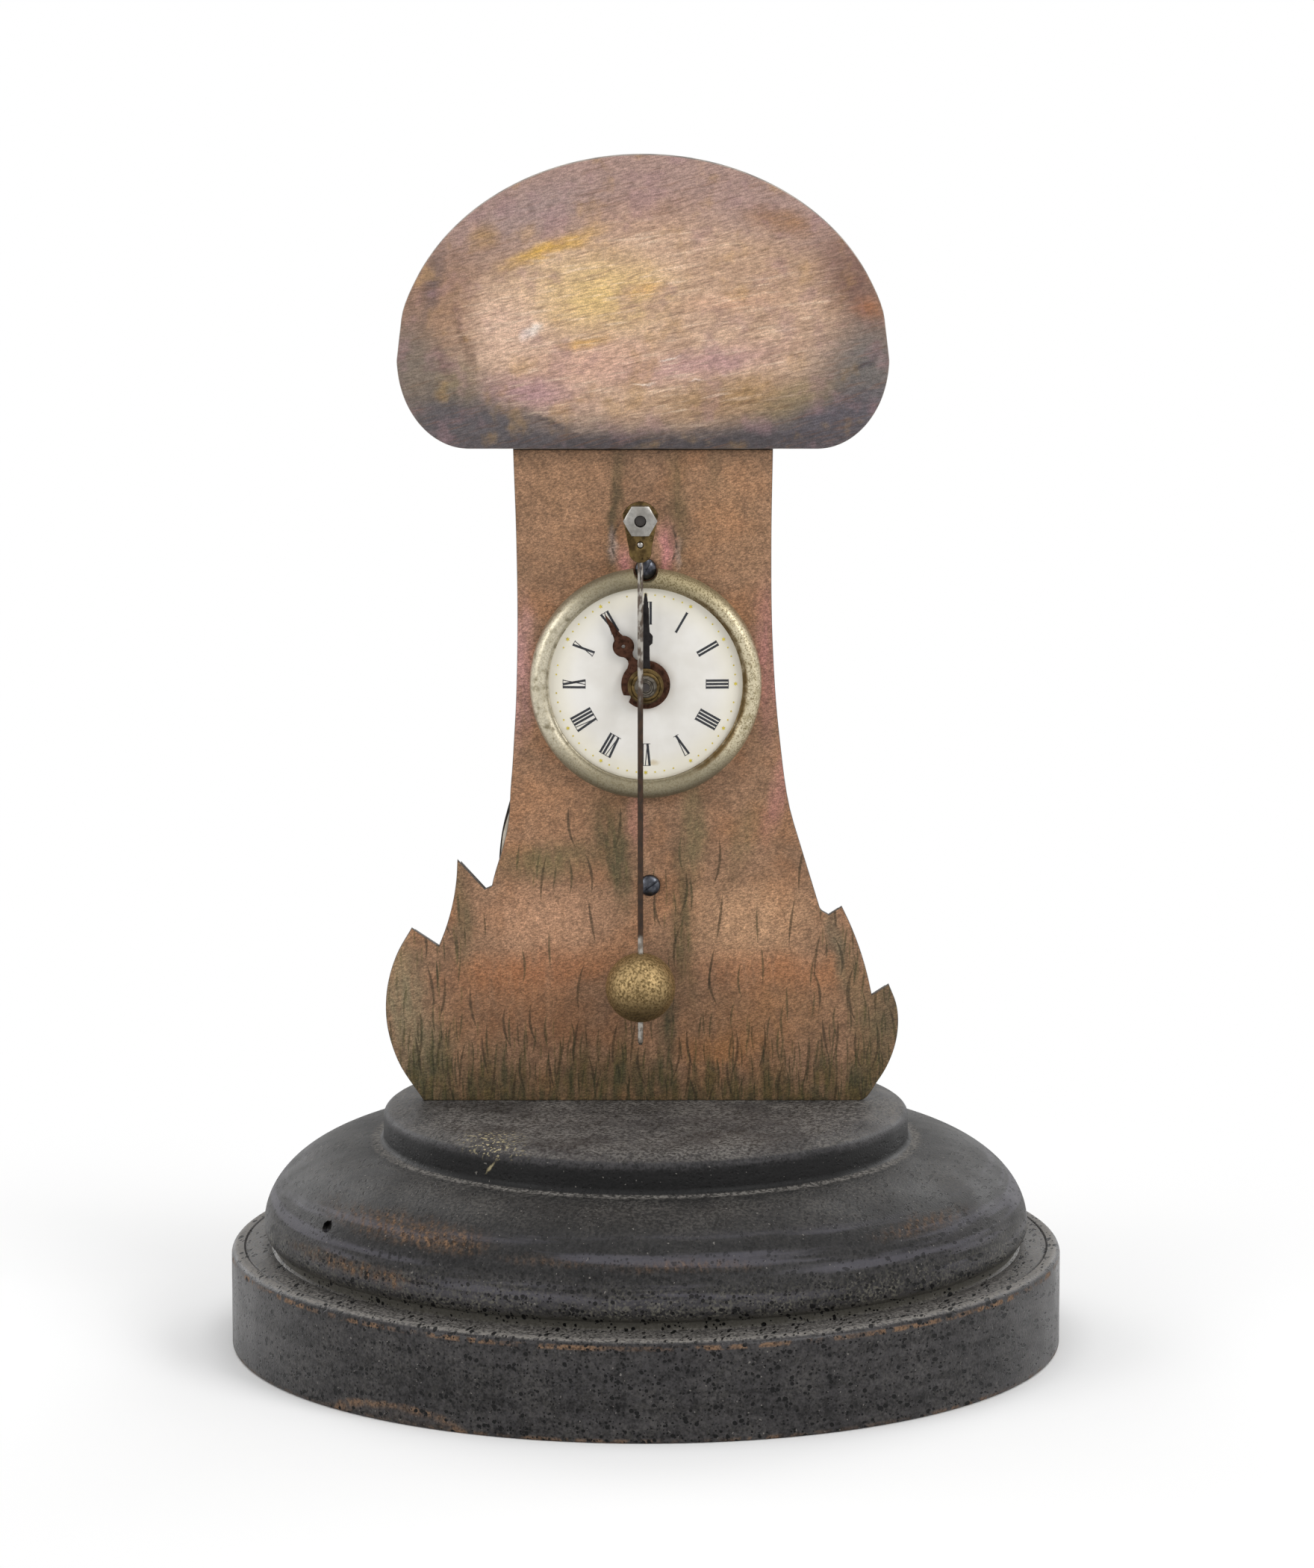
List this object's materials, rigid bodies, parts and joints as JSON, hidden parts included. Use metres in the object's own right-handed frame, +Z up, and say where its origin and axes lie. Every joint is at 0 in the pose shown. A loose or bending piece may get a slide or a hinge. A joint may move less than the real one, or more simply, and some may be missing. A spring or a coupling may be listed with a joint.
{
  "type": "table clock",
  "caption": "Miniature table timepiece: a painted mushroom-shaped front on a turned dark base, with an enamel dial, a front pendulum and an open spring movement behind.",
  "frame": {"origin": "centre of the base's underside", "axes": "+Z up, -Y the way the dial faces, +X to the viewer's right"},
  "size_m": [0.1286, 0.1286, 0.184],
  "materials": {
    "oak": "ebonised oak, open pores, satin and dusty",
    "backing_metal": "dark oxidised sheet",
    "painted_stem": "painted board, matt, mottled",
    "painted_cap": "painted board, satin, soft pastel shading",
    "enamel": "glossy white enamel on copper",
    "bezel_gilt": "worn silvered gilt",
    "blued_steel": "blued",
    "plate_brass": "lightly tarnished, brushed",
    "wheel_brass": "lightly tarnished",
    "steel": "polished and aged",
    "rusty_steel": "rust-browned",
    "old_brass": "dark patina",
    "bob_brass": "speckled old gilt"
  },
  "bodies": {
    "case": {"turned_base": "oak", "backing_plate": "backing_metal", "stem_face": "painted_stem", "cap_face": "painted_cap", "dial": "enamel", "bezel": "bezel_gilt", "mount_screw_upper": "blued_steel", "mount_screw_lower": "blued_steel", "front_plate": "plate_brass", "back_plate": "plate_brass", "pillar_upper_left": "plate_brass", "pillar_upper_right": "plate_brass", "pillar_lower_left": "plate_brass", "pillar_lower_right": "plate_brass", "pillar_nut_upper_left": "steel", "pillar_nut_upper_right": "steel", "pillar_nut_lower_left": "steel", "pillar_nut_lower_right": "steel", "pallet_cock": "plate_brass", "cock_screw_left": "blued_steel", "cock_screw_right": "blued_steel", "click_screw": "blued_steel", "click_spring": "blued_steel", "click_spring_screw": "blued_steel", "minute_wheel_post": "steel"},
    "third_train": {"third_arbor": "steel", "third_wheel": "wheel_brass"},
    "centre_train": {"centre_arbor": "steel", "centre_wheel": "wheel_brass", "cannon_pinion": "steel", "minute_hand": "blued_steel", "hand_collet": "old_brass", "hand_nut": "steel"},
    "hour_work": {"hour_wheel": "wheel_brass", "hour_hand": "rusty_steel"},
    "minute_work": {"minute_wheel": "wheel_brass"},
    "barrel_drum": {"barrel": "wheel_brass", "barrel_cover": "wheel_brass", "mainspring": "blued_steel"},
    "winding_work": {"winding_arbor": "steel", "ratchet_wheel": "steel"},
    "click_lever": {"click": "steel"},
    "escape_train": {"escape_arbor": "steel", "escape_wheel": "wheel_brass"},
    "pendulum": {"pallet_arbor": "steel", "anchor": "steel", "crutch": "old_brass", "crutch_nut": "steel", "crutch_pin": "steel", "pendulum_rod": "rusty_steel"},
    "pendulum_bob": {"bob": "bob_brass"}
  },
  "joints": [
    {"name": "third_turn", "type": "hinge", "parent": "case", "child": "third_train", "pos_m": [0.00645, 0.008, 0.11242], "axis": [0, 1, 0], "continuous": true},
    {"name": "centre_turn", "type": "hinge", "parent": "case", "child": "centre_train", "pos_m": [0, 0, 0.1032], "axis": [0, 1, 0], "continuous": true},
    {"name": "hour_turn", "type": "hinge", "parent": "case", "child": "hour_work", "pos_m": [0, 0, 0.1032], "axis": [0, 1, 0], "continuous": true},
    {"name": "minute_wheel_turn", "type": "hinge", "parent": "case", "child": "minute_work", "pos_m": [-0.00544, 0, 0.10066], "axis": [0, 1, 0], "continuous": true},
    {"name": "barrel_turn", "type": "hinge", "parent": "case", "child": "barrel_drum", "pos_m": [0, 0.007, 0.08903], "axis": [0, 1, 0], "continuous": true},
    {"name": "escape_turn", "type": "hinge", "parent": "case", "child": "escape_train", "pos_m": [-0.0008, 0.006, 0.11849], "axis": [0, 1, 0], "continuous": true},
    {"name": "winding_turn", "type": "hinge", "parent": "case", "child": "winding_work", "pos_m": [0, 0.012, 0.08903], "axis": [0, 1, 0], "continuous": true},
    {"name": "click_lift", "type": "hinge", "parent": "case", "child": "click_lever", "pos_m": [-0.00814, 0.0185, 0.09373], "axis": [0, -1, 0], "range_deg": [0, 12], "stiffness_Nm_per_rad": 0.0005, "deforming": ["click_spring"]},
    {"name": "pendulum_swing", "type": "hinge", "parent": "case", "child": "pendulum", "pos_m": [-0.0008, -0.008, 0.1293], "axis": [0, 1, 0], "range_deg": [-6, 6]},
    {"name": "bob_slide", "type": "slide", "parent": "pendulum", "child": "pendulum_bob", "axis": [0, 0, 1], "range_m": [-0.003, 0.006]}
  ],
  "couplings": [
    {"joint": "centre_turn", "follows": "third_turn", "ratio": -0.071429},
    {"joint": "minute_wheel_turn", "follows": "third_turn", "ratio": 0.02381},
    {"joint": "hour_turn", "follows": "third_turn", "ratio": -0.0059524},
    {"joint": "barrel_turn", "follows": "third_turn", "ratio": 0.0089286},
    {"joint": "escape_turn", "follows": "third_turn", "ratio": -13.333}
  ]
}
